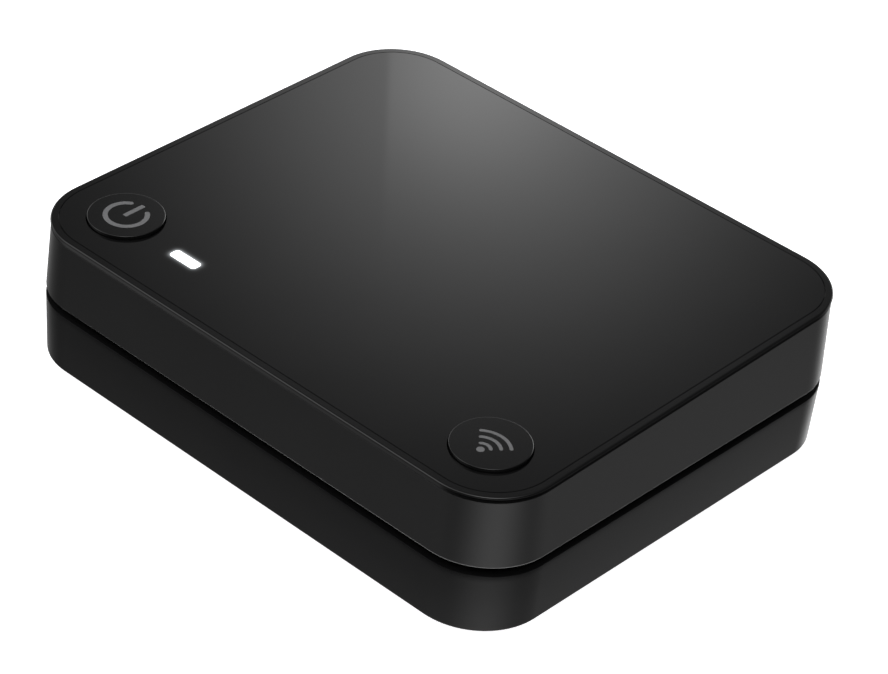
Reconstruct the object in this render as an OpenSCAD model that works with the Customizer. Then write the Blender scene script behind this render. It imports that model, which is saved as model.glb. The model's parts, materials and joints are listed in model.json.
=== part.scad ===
// Wireless audio receiver: a two-tier desktop box with two push buttons and a
// lit status window on a gently tilted top, and its sockets in a rear panel.
// Millimetres. X runs to the right, Y to the back, Z up. The origin is under
// the middle of the whole footprint, sockets included, at the soles of the feet.

/* [Case] */
// Width of the case, along X
case_w = 100; // [90:0.5:120]
// Depth of the case, along Y
case_d = 83.4; // [70:0.1:100]
// Radius of the vertical corners, at the split line
corner_r = 11.5; // [8:0.1:16]
// Height of the top at its front edge, above the underside of the case
front_h = 23.56; // [20:0.01:30]
// Rise of the top for each millimetre towards the back
top_slope = 0.0334; // [0:0.0001:0.08]
// Height of the lower case wall
lower_h = 10.16; // [8:0.01:14]
// Height of the open groove between the lower and upper case walls
groove_h = 1.36; // [0.5:0.01:3]
// How far the upper wall leans in over its height
upper_lean = 0.63; // [0:0.01:2]
// How far the lower wall leans in, down to its underside
lower_lean = 0.3; // [0:0.01:2]
// Thickness of the upper case wall
upper_wall = 1.8; // [1.2:0.1:3]
// Thickness of the lower case wall
lower_wall = 2.4; // [1.6:0.1:3.2]
// Thickness of the lower case floor
floor_t = 2; // [1.2:0.1:3]
// Inset of the lip that rises from the lower case behind the groove
lip_inset = 1.9; // [1.2:0.05:3]
// Thickness of that lip
lip_t = 1.3; // [0.8:0.05:2]
// Height of the top of the lip
lip_top = 13.2; // [12:0.1:15]

/* [Top] */
// Total thickness of the top cap
cap_t = 1.05; // [0.6:0.01:2]
// Thickness of the cap's rim
rim_t = 0.3; // [0.2:0.05:1]
// Inset of the bevelled neck under the rim, at its foot
neck_foot = 0.6; // [0.4:0.05:1.5]
// Inset of the bevelled neck at its head, against the rim
neck_head = 0.95; // [0.5:0.05:1.8]
// Inset of the cap's rim from the case outline
rim_inset = 0.42; // [0.3:0.01:1]
// Chamfer along the rim's upper edge
rim_chamfer = 0.15; // [0.05:0.01:0.2]
// Inset of the pocket that holds the glossy plate
pocket_inset = 1.64; // [1:0.01:3]
// Fine gap around the glossy plate
plate_gap = 0.14; // [0.05:0.01:0.4]
// Thickness of the glossy plate
plate_t = 0.45; // [0.3:0.01:1]
// Thickness of the upper case deck under the cap
deck_t = 1.5; // [1:0.1:3]

/* [Buttons] */
// Radius of a button cap
button_r = 6; // [4:0.05:8]
// Radial gap around a button cap
button_gap = 0.18; // [0.1:0.01:0.5]
// Height a button stands above the plate
button_proud = 0.6; // [0.2:0.05:2]
// Chamfer around a button's upper edge
button_chamfer = 0.12; // [0.1:0.01:0.6]
// Distance of each button from the middle, along X
button_x = 38; // [30:0.1:44]
// Distance of the buttons in front of the middle, along Y
button_y = 30; // [20:0.1:36]
// Radius of the flange that keeps a button in the case
button_flange_r = 7.2; // [6.5:0.05:8]
// Radius of the stem that presses the switch
stem_r = 2; // [1:0.05:3]
// Depth of the printed legends
legend_t = 0.1; // [0.05:0.01:0.3]

/* [Status window] */
// Length of the window, along X
window_w = 5.4; // [3:0.05:10]
// Width of the window, along Y
window_d = 1.95; // [1.5:0.05:5]
// Corner radius of the window
window_r = 0.65; // [0.3:0.05:1.0]
// Position of the window, left of the middle
window_x = 23.85; // [15:0.05:30]
// Position of the window, in front of the middle
window_y = 30.8; // [20:0.05:36]

/* [Boards] */
// Width of the main board
board_w = 77; // [60:0.5:84]
// Front edge of the main board, in front of the middle
board_front = 30; // [20:0.5:36]
// Back edge of the main board, behind the middle
board_back = 37; // [30:0.5:38]
// Thickness of the circuit boards
board_t = 1.6; // [0.8:0.1:2]
// Height of the main board's underside
board_z = 3.4; // [2.5:0.1:6]
// Inset of the button board from the case outline
key_inset = 3.8; // [3.3:0.1:6]
// Depth of the button board below the top face
key_z = 9.5; // [8:0.1:12]
// Back edge of the button board, in front of the middle
key_back = 21; // [14:0.5:26]

/* [Rear panel] */
// Width of the rear panel
panel_w = 66; // [50:0.5:74]
// Height of the rear panel's lower edge
panel_z0 = 3.6; // [3:0.1:6]
// Height of the rear panel's upper edge
panel_z1 = 19.4; // [16:0.1:21]
// How far the panel's face lies behind the case outline
panel_inset = 0.7; // [0.4:0.1:2]
// Thickness of the panel in its window
panel_t = 2.8; // [1.5:0.1:4]
// Height of the phono sockets' axis
phono_z = 11.8; // [10:0.1:14]
// Position of the left channel socket, along X
phono_left_x = 26; // [20:0.5:30]
// Position of the right channel socket, along X
phono_right_x = 11; // [6:0.5:16]
// Radius of a phono socket's outer contact
phono_r = 4.15; // [4.1:0.01:4.2]
// Free length of a phono socket's outer contact
phono_len = 8.2; // [7:0.1:10]
// Position of the stereo jack, along X
jack_x = -7; // [-12:0.5:-2]
// Radius of the stereo jack's bore
jack_r = 1.8; // [1.76:0.01:1.9]
// Length of the stereo jack's bore
jack_len = 14; // [12:0.5:15]
// Position of the power socket, along X
usb_x = -24; // [-28:0.5:-18]

/* [Feet] */
// Radius of a rubber foot
foot_r = 5; // [3:0.1:8]
// How far a foot stands below the case
foot_h = 0.8; // [0.4:0.1:3]
// Depth of the recess a foot sits in
foot_recess = 0.8; // [0.4:0.1:1.4]
// Distance of the feet from the middle, along X
foot_x = 36; // [25:0.5:40]
// Distance of the feet from the middle, along Y
foot_y = 27; // [20:0.5:32]

/* [Hidden] */
$fn = 48;
top_tilt = atan(top_slope);
top_mid = front_h + top_slope * case_d / 2;
upper_z = lower_h + groove_h;
lean_top = upper_z + 15.5;
deck_under = cap_t + deck_t;
corner_x = case_w / 2 - corner_r;
corner_y = case_d / 2 - corner_r;
lip_in = lip_inset + lip_t;
board_top = board_z + board_t;
panel_y = case_d / 2 - panel_inset;
panel_back = panel_y - panel_t;
flange_back = panel_back - 1;
phono_face = panel_y + 0.8;
phono_tip = phono_face + phono_len;
jack_face = panel_y + 0.3;
jack_z = board_top + 3.3;
case_y = -(phono_tip - case_d / 2) / 2;
big = 200;
case_screw_x = 43.2;
case_screw_y = [-12, 14];
case_screw_seat = 4;
column_top = 9;
board_screw_x = 34.5;
board_screw_y = [-25, 22];
key_screw_x = [-9, 24];
key_screw_y = -29;
phono_xs = [phono_left_x, phono_right_x];

// [x, y, width, depth, height] of the small chip parts on the main board
chip_parts_list = [
    [-30, 2, 1.6, 0.8, 0.8], [-30, 4, 1.6, 0.8, 0.8],
    [-30, 6, 1.6, 0.8, 0.8], [-6, -12, 0.8, 1.6, 0.8],
    [-4, -12, 0.8, 1.6, 0.8], [-2, -12, 0.8, 1.6, 0.8],
    [0, -12, 0.8, 1.6, 0.8], [8, 3, 1.6, 0.8, 0.8],
    [8, 5, 1.6, 0.8, 0.8], [8, 7, 1.6, 0.8, 0.8],
    [22, -8, 2, 1.2, 1], [22, -5, 2, 1.2, 1],
    [22, -2, 2, 1.2, 1], [-16, 24, 1.2, 2, 1],
    [-13, 24, 1.2, 2, 1], [14, -20, 3, 3, 1.8]
];
// [x, y, radius, height] of the electrolytic capacitors
can_list = [
    [30, -12, 3.15, 7.6], [30, -4, 3.15, 7.6], [32, 6, 4, 9],
    [-31, 13, 4, 9], [-20, 17, 3.15, 7.6], [20, 18, 2.5, 6.6],
    [12, 18, 2.5, 6.6]
];

function top_at(y) = top_mid + top_slope * y;

// Places its children in the case's own frame, underside at zero
module in_case() {
    translate([0, case_y, foot_h])
        children();
}

// Places its children on the tilted top face, zero at that face
module on_top() {
    in_case()
        translate([0, 0, top_mid])
            rotate([top_tilt, 0, 0])
                children();
}

// Places its children at a button, on the tilted top face
module at_button(side) {
    on_top()
        translate([side * button_x, -button_y, 0])
            children();
}

// A rounded block on the case outline whose sides lean from one inset to another
module leaning_box(z0, z1, in0, in1) {
    for (sx = [-1, 1], sy = [-1, 1])
        translate([sx * corner_x, sy * corner_y, z0])
            cylinder(h = z1 - z0, r1 = corner_r - in0, r2 = corner_r - in1);
    half_d0 = case_d / 2 - in0;
    half_d1 = case_d / 2 - in1;
    translate([-corner_x, 0, 0])
        rotate([90, 0, 90])
            linear_extrude(2 * corner_x)
                polygon([[-half_d0, z0], [half_d0, z0], [half_d1, z1], [-half_d1, z1]]);
    half_w0 = case_w / 2 - in0;
    half_w1 = case_w / 2 - in1;
    translate([0, corner_y, 0])
        rotate([90, 0, 0])
            linear_extrude(2 * corner_y)
                polygon([[-half_w0, z0], [half_w0, z0], [half_w1, z1], [-half_w1, z1]]);
}

// Everything above a level measured down from the tilted top face
module above_top(depth) {
    translate([0, 0, top_mid])
        rotate([top_tilt, 0, 0])
            translate([-big / 2, -big / 2, -depth])
                cube([big, big, 60]);
}

// A block standing on its base, centred in X and Y
module block(w, d, h) {
    translate([-w / 2, -d / 2, 0])
        cube([w, d, h]);
}

// A rounded bar of a given outline and height
module rounded_bar(w, d, r, h) {
    for (sx = [-1, 1], sy = [-1, 1])
        translate([sx * (w / 2 - r), sy * (d / 2 - r), 0])
            cylinder(h = h, r = r);
    block(w - 2 * r, d, h);
    block(w, d - 2 * r, h);
}

// A rod along Y between two depths
module rod_y(x, y0, y1, z, r) {
    translate([x, y1, z])
        rotate([90, 0, 0])
            cylinder(h = y1 - y0, r = r);
}

// The window in the back walls that the rear panel fills
module panel_window(gap) {
    translate([-panel_w / 2 - gap, panel_back - 4, panel_z0 - gap])
        cube([panel_w + 2 * gap, 20, panel_z1 - panel_z0 + 2 * gap]);
}

module lower_case() {
    color([0.05, 0.05, 0.055])
        in_case()
            difference() {
                union() {
                    difference() {
                        union() {
                            leaning_box(0, lower_h, lower_lean, 0);
                            leaning_box(7, lip_top, lip_inset, lip_inset);
                        }
                        leaning_box(floor_t, 8, lower_wall, lower_wall);
                        leaning_box(7.5, 20, lip_in, lip_in);
                        panel_window(0.1);
                    }
                    for (sx = [-1, 1], y = board_screw_y)
                        translate([sx * board_screw_x, y, 1])
                            cylinder(h = board_z - 1, r = 2.8);
                    for (sx = [-1, 1], y = case_screw_y)
                        translate([sx * case_screw_x, y, 1])
                            cylinder(h = column_top - 1, r = 3.4);
                }
                for (sx = [-1, 1], y = board_screw_y)
                    translate([sx * board_screw_x, y, 0.9])
                        cylinder(h = 5, r = 0.95);
                for (sx = [-1, 1], y = case_screw_y) {
                    translate([sx * case_screw_x, y, -1])
                        cylinder(h = case_screw_seat + 1, r = 2.6);
                    translate([sx * case_screw_x, y, 0])
                        cylinder(h = 20, r = 1.4);
                }
                for (sx = [-1, 1], sy = [-1, 1])
                    translate([sx * foot_x, sy * foot_y, -1])
                        cylinder(h = foot_recess + 1, r = foot_r + 0.1);
                translate([0, 0, -1])
                    rounded_bar(50, 26, 1.5, 1.15);
            }
}

module upper_case() {
    color([0.05, 0.05, 0.055])
        in_case()
            difference() {
                union() {
                    difference() {
                        leaning_box(upper_z, lean_top, 0, upper_lean);
                        above_top(cap_t);
                        difference() {
                            leaning_box(upper_z - 1, lean_top + 1, upper_wall, upper_wall + upper_lean);
                            above_top(deck_under);
                        }
                        panel_window(0.1);
                    }
                    for (sx = [-1, 1], y = case_screw_y) {
                        boss_top = top_at(y) - deck_under + 0.7;
                        translate([sx * case_screw_x, y, column_top])
                            cylinder(h = boss_top - column_top, r = 3);
                    }
                    for (x = key_screw_x)
                        translate([0, 0, top_mid])
                            rotate([top_tilt, 0, 0])
                                translate([x, key_screw_y, -key_z])
                                    cylinder(h = key_z - deck_under + 0.7, r = 2.6);
                }
                for (sx = [-1, 1], y = case_screw_y)
                    translate([sx * case_screw_x, y, column_top - 1])
                        cylinder(h = 9.5, r = 1.3);
                translate([0, 0, top_mid])
                    rotate([top_tilt, 0, 0]) {
                        for (x = key_screw_x)
                            translate([x, key_screw_y, -key_z - 1])
                                cylinder(h = 6.5, r = 0.95);
                        for (side = [-1, 1])
                            translate([side * button_x, -button_y, -8])
                                cylinder(h = 16, r = button_r + button_gap);
                        translate([-window_x, -window_y, -8])
                            rounded_bar(window_w + 0.1, window_d + 0.1, window_r, 16);
                    }
            }
}

module top_cap() {
    color([0.07, 0.07, 0.075])
        on_top()
            difference() {
                union() {
                    leaning_box(-cap_t, -rim_t, neck_foot, neck_head);
                    leaning_box(-rim_t, -rim_chamfer, rim_inset, rim_inset);
                    leaning_box(-rim_chamfer, 0, rim_inset, rim_inset + rim_chamfer);
                }
                leaning_box(-plate_t, 1, pocket_inset, pocket_inset);
                for (side = [-1, 1])
                    translate([side * button_x, -button_y, -3])
                        cylinder(h = 6, r = button_r + button_gap);
                translate([-window_x, -window_y, -3])
                    rounded_bar(window_w + 0.1, window_d + 0.1, window_r, 6);
            }
}

module gloss_plate() {
    plate_inset = pocket_inset + plate_gap;
    color([0.03, 0.03, 0.035])
        on_top()
            difference() {
                leaning_box(-plate_t, 0, plate_inset, plate_inset);
                for (side = [-1, 1])
                    translate([side * button_x, -button_y, -3])
                        cylinder(h = 6, r = button_r + button_gap);
                translate([-window_x, -window_y, -3])
                    rounded_bar(window_w + 0.1, window_d + 0.1, window_r, 6);
            }
}

module status_window() {
    color([0.96, 0.97, 1])
        on_top()
            translate([-window_x, -window_y, 0]) {
                translate([0, 0, -7.8])
                    rounded_bar(window_w, window_d, window_r, 7.8);
                translate([0, 0, -deck_under - 0.8])
                    rounded_bar(window_w + 2, window_d + 2, window_r, 0.8);
            }
}

// A button with its chamfered cap, keeping flange and stem, legend left open
module button_body() {
    top = button_proud;
    under = -deck_under - 0.05;
    rotate_extrude()
        polygon([
            [0, top], [button_r - button_chamfer, top], [button_r, top - button_chamfer],
            [button_r, under], [button_flange_r, under], [button_flange_r, under - 0.9],
            [stem_r, under - 0.9], [stem_r, -5.4], [0, -5.4]
        ]);
}

// An arc of a ring about the vertical, open below a pair of straight limits
module ring_arc(r_mid, stroke, half_angle, h) {
    reach = 3 * r_mid;
    intersection() {
        difference() {
            cylinder(h = h, r = r_mid + stroke / 2);
            translate([0, 0, -1])
                cylinder(h = h + 2, r = r_mid - stroke / 2);
        }
        linear_extrude(h)
            polygon([
                [0, 0],
                [-reach * sin(half_angle), reach * cos(half_angle)],
                [reach * sin(half_angle), reach * cos(half_angle)]
            ]);
    }
}

// The usual on and off sign: an open ring with a bar at its gap
module power_sign(h) {
    gap = 35;
    difference() {
        cylinder(h = h, r = 3.62);
        translate([0, 0, -1])
            cylinder(h = h + 2, r = 2.82);
        translate([0, 0, -1])
            linear_extrude(h + 2)
                polygon([[0, 0], [-9 * sin(gap), 9 * cos(gap)], [9 * sin(gap), 9 * cos(gap)]]);
    }
    translate([-0.4, -0.4, 0])
        cube([0.8, 4, h]);
}

// Three waves spreading from a dot
module waves_sign(h) {
    translate([0, -2.2, 0]) {
        cylinder(h = h, r = 0.6);
        for (i = [1:3])
            ring_arc(1.45 * i, 0.55, 42, h);
    }
}

module power_button() {
    color([0.06, 0.06, 0.065])
        at_button(-1)
            difference() {
                button_body();
                translate([0, 0, button_proud - legend_t])
                    power_sign(1);
            }
}

module power_legend() {
    color([0.45, 0.45, 0.46])
        at_button(-1)
            translate([0, 0, button_proud - legend_t])
                power_sign(legend_t);
}

module pairing_button() {
    color([0.06, 0.06, 0.065])
        at_button(1)
            difference() {
                button_body();
                translate([0, 0, button_proud - legend_t])
                    waves_sign(1);
            }
}

module pairing_legend() {
    color([0.45, 0.45, 0.46])
        at_button(1)
            translate([0, 0, button_proud - legend_t])
                waves_sign(legend_t);
}

// The moving pin of a switch, under a button's stem
module switch_pin() {
    translate([0, 0, -7.7])
        cylinder(h = 2.3, r = 1.7);
}

module power_plunger() {
    color([0.1, 0.1, 0.1])
        at_button(-1)
            switch_pin();
}

module pairing_plunger() {
    color([0.1, 0.1, 0.1])
        at_button(1)
            switch_pin();
}

module switch_bodies() {
    color([0.12, 0.12, 0.13])
        for (side = [-1, 1])
            at_button(side)
                difference() {
                    translate([0, 0, -key_z])
                        block(6.2, 6.2, 3.4);
                    translate([0, 0, -8.3])
                        cylinder(h = 4, r = 1.75);
                }
}

module status_led() {
    color([0.95, 0.95, 0.88])
        on_top()
            translate([-window_x, -window_y, -key_z])
                block(3.5, 2.8, 1.5);
}

module key_board() {
    color([0.05, 0.2, 0.1])
        on_top()
            difference() {
                leaning_box(-key_z - board_t, -key_z, key_inset, key_inset);
                translate([-big / 2, -key_back, -20])
                    cube([big, big, 40]);
                for (x = key_screw_x)
                    translate([x, key_screw_y, -20])
                        cylinder(h = 20, r = 1.1);
            }
}

// A pan head screw pointing up from a seat at zero, with a cross in its head
module screw(head_r, head_h, shank_r, length) {
    difference() {
        translate([0, 0, -head_h])
            cylinder(h = head_h, r = head_r);
        translate([0, 0, -head_h - 0.1]) {
            block(head_r * 1.3, 0.5, 0.8);
            block(0.5, head_r * 1.3, 0.8);
        }
    }
    translate([0, 0, -0.1])
        cylinder(h = length + 0.1, r = shank_r);
}

module key_board_screws() {
    color([0.6, 0.6, 0.62])
        on_top()
            for (x = key_screw_x)
                translate([x, key_screw_y, -key_z - board_t])
                    screw(1.9, 1.3, 0.9, 6);
}

module ribbon_connectors() {
    color([0.85, 0.83, 0.75]) {
        on_top()
            translate([6, -26, -key_z - board_t - 2])
                block(10, 3.4, 2);
        in_case()
            translate([6, -25.6, board_top])
                block(10, 3.4, 2);
    }
}

module ribbon_cable() {
    connector_under = top_at(-25.6) - key_z - board_t - 2;
    color([0.8, 0.8, 0.82])
        in_case()
            translate([6, -25.6, board_top + 2])
                block(8, 0.3, connector_under - board_top - 2.03);
}

module main_board() {
    color([0.05, 0.22, 0.12])
        in_case()
            difference() {
                translate([0, (board_back - board_front) / 2, board_z])
                    rounded_bar(board_w, board_back + board_front, 2, board_t);
                for (sx = [-1, 1], y = board_screw_y)
                    translate([sx * board_screw_x, y, 0])
                        cylinder(h = 20, r = 1.2);
            }
}

module main_board_screws() {
    color([0.6, 0.6, 0.62])
        in_case()
            for (sx = [-1, 1], y = board_screw_y)
                translate([sx * board_screw_x, y, board_top])
                    mirror([0, 0, 1])
                        screw(1.9, 1.3, 0.9, 3.8);
}

module radio_board() {
    color([0.04, 0.12, 0.25])
        in_case()
            translate([-22, -16, board_top])
                block(15, 21, 0.8);
}

module radio_shield() {
    color([0.75, 0.75, 0.76])
        in_case()
            translate([-22, -13, board_top + 0.8])
                block(12, 12.5, 2);
}

// A folded printed trace along the free end of the radio board
module radio_antenna() {
    color([0.8, 0.62, 0.25])
        in_case()
            translate([-22, -25.6, board_top + 0.8]) {
                block(12, 0.8, 0.1);
                for (i = [-2:2])
                    translate([2.6 * i, 2.2, 0])
                        block(0.8, 4.6, 0.1);
            }
}

module converter_chip() {
    color([0.06, 0.06, 0.06])
        in_case()
            translate([-3, 0, board_top]) {
                translate([0, 0, 0.1])
                    block(9, 9, 1.3);
                for (i = [-5:5], a = [0, 90, 180, 270])
                    rotate([0, 0, a])
                        translate([0.7 * i, 5, 0])
                            block(0.3, 1.2, 0.4);
            }
}

module amplifier_chip() {
    color([0.06, 0.06, 0.06])
        in_case()
            translate([16, 8, board_top]) {
                translate([0, 0, 0.1])
                    block(5, 4, 1.4);
                for (i = [-1.5:1:1.5], side = [-1, 1])
                    translate([1.2 * i, side * 2.5, 0])
                        block(0.4, 1.2, 0.5);
            }
}

module regulator() {
    color([0.07, 0.07, 0.07])
        in_case()
            translate([-24, 28, board_top]) {
                block(6.5, 3.5, 1.6);
                translate([0, 2.6, 0])
                    block(3, 1.8, 0.4);
                for (i = [-1:1])
                    translate([2.3 * i, -2.6, 0])
                        block(0.7, 1.8, 0.4);
            }
}

module crystal() {
    color([0.7, 0.7, 0.72])
        in_case()
            translate([-3, -18, board_top])
                rounded_bar(11, 4.4, 2, 3.4);
}

module capacitors() {
    color([0.12, 0.13, 0.2])
        in_case()
            for (c = can_list)
                translate([c[0], c[1], board_top]) {
                    block(2 * c[2] + 0.4, 2 * c[2] + 0.4, 0.6);
                    cylinder(h = c[3], r = c[2]);
                }
}

module chip_parts() {
    color([0.55, 0.45, 0.35])
        in_case()
            for (c = chip_parts_list)
                translate([c[0], c[1], board_top])
                    block(c[2], c[3], c[4]);
}

module rear_panel() {
    color([0.05, 0.05, 0.055])
        in_case()
            difference() {
                union() {
                    translate([-panel_w / 2, panel_back, panel_z0])
                        cube([panel_w, panel_t, panel_z1 - panel_z0]);
                    translate([-panel_w / 2 - 1.2, flange_back, board_top + 0.2])
                        cube([panel_w + 2.4, 1, panel_z1 + 1.2 - board_top - 0.2]);
                }
                for (x = phono_xs)
                    rod_y(x, 20, 60, phono_z, 5);
                rod_y(jack_x, 20, 60, jack_z, 3.1);
                translate([usb_x - 4.2, 20, board_top - 0.2])
                    cube([8.4, 40, 3.4]);
            }
}

module phono_housing() {
    middle = (phono_left_x + phono_right_x) / 2;
    span = phono_left_x - phono_right_x + 12;
    color([0.07, 0.07, 0.07])
        in_case()
            difference() {
                translate([middle - span / 2, flange_back - 10, board_top])
                    cube([span, 10, 13]);
                for (x = phono_xs)
                    rod_y(x, flange_back - 4, flange_back + 1, phono_z, 3.85);
            }
}

module phono_sleeves() {
    color([0.8, 0.8, 0.82])
        in_case()
            for (x = phono_xs)
                difference() {
                    union() {
                        rod_y(x, flange_back - 4, phono_face, phono_z, 3.8);
                        rod_y(x, phono_face, phono_tip, phono_z, phono_r);
                    }
                    rod_y(x, 10, 60, phono_z, 3.4);
                }
}

module phono_insulators() {
    color([0.9, 0.9, 0.88])
        in_case()
            for (x = phono_xs)
                difference() {
                    rod_y(x, flange_back - 4, phono_tip - 0.6, phono_z, 3.35);
                    rod_y(x, 10, 60, phono_z, 2.05);
                }
}

module phono_contacts() {
    color([0.85, 0.68, 0.3])
        in_case()
            for (x = phono_xs)
                difference() {
                    rod_y(x, flange_back - 4, phono_tip - 0.9, phono_z, 2);
                    rod_y(x, flange_back - 2, 60, phono_z, 1.65);
                }
}

// The coloured collar around one phono socket
module phono_ring(x) {
    in_case()
        difference() {
            rod_y(x, flange_back, phono_face, phono_z, 4.9);
            rod_y(x, 10, 60, phono_z, 3.85);
        }
}

module phono_ring_left() {
    color([0.9, 0.9, 0.9])
        phono_ring(phono_left_x);
}

module phono_ring_right() {
    color([0.7, 0.05, 0.05])
        phono_ring(phono_right_x);
}

module jack_housing() {
    color([0.07, 0.07, 0.07])
        in_case()
            difference() {
                union() {
                    translate([jack_x - 3.6, jack_face - jack_len - 1, board_top])
                        cube([7.2, flange_back - jack_face + jack_len + 1, 6.6]);
                    rod_y(jack_x, flange_back - 1, jack_face, jack_z, 3);
                }
                rod_y(jack_x, jack_face - jack_len, 60, jack_z, jack_r);
            }
}

module usb_shell() {
    color([0.75, 0.75, 0.77])
        in_case()
            translate([usb_x, panel_y - 5.4, board_top])
                difference() {
                    translate([-3.8, 0, 0])
                        cube([7.6, 5.2, 2.8]);
                    translate([-3.5, 0.3, 0.3])
                        cube([7, 6, 2.2]);
                }
}

module usb_tongue() {
    color([0.06, 0.06, 0.06])
        in_case()
            translate([usb_x - 2.4, panel_y - 5.1, board_top + 1.5])
                cube([4.8, 3.8, 0.6]);
}

module case_screws() {
    color([0.35, 0.35, 0.36])
        in_case()
            for (sx = [-1, 1], y = case_screw_y)
                translate([sx * case_screw_x, y, case_screw_seat])
                    screw(2.4, 1.8, 1.25, 12);
}

module feet() {
    color([0.09, 0.09, 0.09])
        in_case()
            for (sx = [-1, 1], sy = [-1, 1])
                translate([sx * foot_x, sy * foot_y, -foot_h])
                    rotate_extrude()
                        polygon([
                            [0, 0], [foot_r - 0.3, 0], [foot_r, 0.3],
                            [foot_r, foot_h + foot_recess], [0, foot_h + foot_recess]
                        ]);
}

module rating_label() {
    color([0.75, 0.75, 0.76])
        in_case()
            translate([0, 0, 0.03])
                rounded_bar(49.6, 25.6, 1.3, 0.12);
}

lower_case();
upper_case();
top_cap();
gloss_plate();
status_window();
power_button();
power_legend();
power_plunger();
pairing_button();
pairing_legend();
pairing_plunger();
switch_bodies();
status_led();
key_board();
key_board_screws();
ribbon_connectors();
ribbon_cable();
main_board();
main_board_screws();
radio_board();
radio_shield();
radio_antenna();
converter_chip();
amplifier_chip();
regulator();
crystal();
capacitors();
chip_parts();
rear_panel();
phono_housing();
phono_sleeves();
phono_insulators();
phono_contacts();
phono_ring_left();
phono_ring_right();
jack_housing();
usb_shell();
usb_tongue();
case_screws();
feet();
rating_label();
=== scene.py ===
"""Looks of the wireless audio receiver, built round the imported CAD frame. Metres throughout."""
import json
import math

import bmesh
import bpy
from mathutils import Matrix, Vector


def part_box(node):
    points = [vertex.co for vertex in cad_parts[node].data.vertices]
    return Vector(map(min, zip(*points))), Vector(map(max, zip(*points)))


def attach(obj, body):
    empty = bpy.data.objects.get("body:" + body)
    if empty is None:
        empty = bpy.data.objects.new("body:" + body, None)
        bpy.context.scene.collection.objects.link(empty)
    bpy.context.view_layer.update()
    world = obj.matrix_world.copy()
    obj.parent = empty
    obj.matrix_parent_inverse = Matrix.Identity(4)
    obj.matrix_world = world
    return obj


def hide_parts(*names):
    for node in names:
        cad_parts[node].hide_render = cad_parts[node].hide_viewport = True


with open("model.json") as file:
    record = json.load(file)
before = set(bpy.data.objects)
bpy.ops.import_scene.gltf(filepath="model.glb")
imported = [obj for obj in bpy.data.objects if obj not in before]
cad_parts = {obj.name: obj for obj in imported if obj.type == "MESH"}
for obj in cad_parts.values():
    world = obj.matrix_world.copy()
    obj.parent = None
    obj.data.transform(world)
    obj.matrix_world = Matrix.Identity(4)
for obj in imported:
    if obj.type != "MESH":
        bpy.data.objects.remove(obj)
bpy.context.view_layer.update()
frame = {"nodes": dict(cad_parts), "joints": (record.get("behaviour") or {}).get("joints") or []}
MM = 0.001

# ---------------------------------------------------------------- dimensions
# Heights are above the case's underside, and insets are from its outline, unless a comment says otherwise.
CASE_LOW, CASE_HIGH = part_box("lower_case")
HALF_W = (CASE_HIGH.x - CASE_LOW.x) / 2
HALF_D = (CASE_HIGH.y - CASE_LOW.y) / 2
MID_Y = (CASE_HIGH.y + CASE_LOW.y) / 2
CASE_Z = CASE_LOW.z                      # the underside, above the soles of the feet
CORNER_R = 11.5 * MM
FRONT_H = 23.56 * MM                     # the top face at the front edge

LOWER_H = 10.16 * MM                     # top of the lower wall
LOWER_WALL = 2.4 * MM
LOWER_LEAN = 0.3 * MM                    # inset of the wall's foot
FLOOR_T = 2.0 * MM
LIP_INSET = 1.9 * MM                     # the lip behind the groove
LIP_T = 1.3 * MM
LIP_TOP = 13.2 * MM
LIP_FOOT = 8.0 * MM
LIP_BEVEL = 0.5 * MM                     # height of the slope under the lip, inside the case

UPPER_H = 11.52 * MM                     # lower edge of the upper case
UPPER_WALL = 1.8 * MM
UPPER_LEAN = 0.63 * MM                   # how far the wall leans in over LEAN_H
LEAN_H = 15.5 * MM
DECK_T = 1.5 * MM                        # the deck under the cap

PRESS = Vector(frame["joints"][0]["axis"]).normalized()
SLOPE = -PRESS.y / PRESS.z               # rise of the top towards the back
TILT = math.atan(SLOPE)
CAP_T = 1.05 * MM
RIM_INSET = 0.42 * MM
RIM_T = 0.3 * MM
NECK_FOOT, NECK_HEAD = 0.6 * MM, 0.95 * MM  # insets of the bevel under the rim
POCKET_INSET = 1.64 * MM                 # the cap's pocket, which holds the plate
PLATE_GAP = 0.14 * MM
PLATE_T = 0.45 * MM

BUTTON_R = 6.0 * MM
HOLE_R = 6.18 * MM
BUTTON_X = 38.0 * MM                     # to either side of the middle
BUTTON_Y = -30.0 * MM
PROUD = 0.6 * MM                         # a button's face above the plate's
INK_T = 0.015 * MM
WINDOW_AT = (-23.85 * MM, -30.8 * MM)
WINDOW_SIZE = (5.4 * MM, 1.95 * MM)
WINDOW_R = 0.65 * MM
WINDOW_GAP = 0.05 * MM                   # round the window in its hole
GUIDE_DEPTH = 7.8 * MM                   # how far the window's light guide reaches down

FEET = [(x * MM, y * MM) for x in (-36, 36) for y in (-27, 27)]
FOOT_R = 5.0 * MM
SCREWS = [(x * MM, y * MM) for x in (-43.2, 43.2) for y in (-12, 14)]

PANEL_LOW, PANEL_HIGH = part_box("rear_panel")
PANEL_FLANGE = 1.2 * MM                  # how far its flange goes past its face, at either side
PANEL_LEFT, PANEL_RIGHT = PANEL_LOW.x + PANEL_FLANGE, PANEL_HIGH.x - PANEL_FLANGE
PANEL_BOTTOM, PANEL_TOP = CASE_Z + 3.6 * MM, CASE_Z + 19.4 * MM  # above the soles of the feet
PANEL_Y = HALF_D - 0.7 * MM              # its outer face, behind the middle of the case
FLANGE_Y = PANEL_Y - 3.8 * MM            # inner face of its flange, where the phono collars start
PANEL_BACK = FLANGE_Y + 1 * MM           # inner face of the panel itself
PHONO_X = (26 * MM, 11 * MM)
PHONO_Z = 11.8 * MM
PHONO_FACE = PANEL_Y + 0.8 * MM          # outer face of the collars
PHONO_TIP = PHONO_FACE + 8.2 * MM
PHONO_START = FLANGE_Y - 4 * MM          # inner end of the phono sleeves, insulators and contacts
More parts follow.
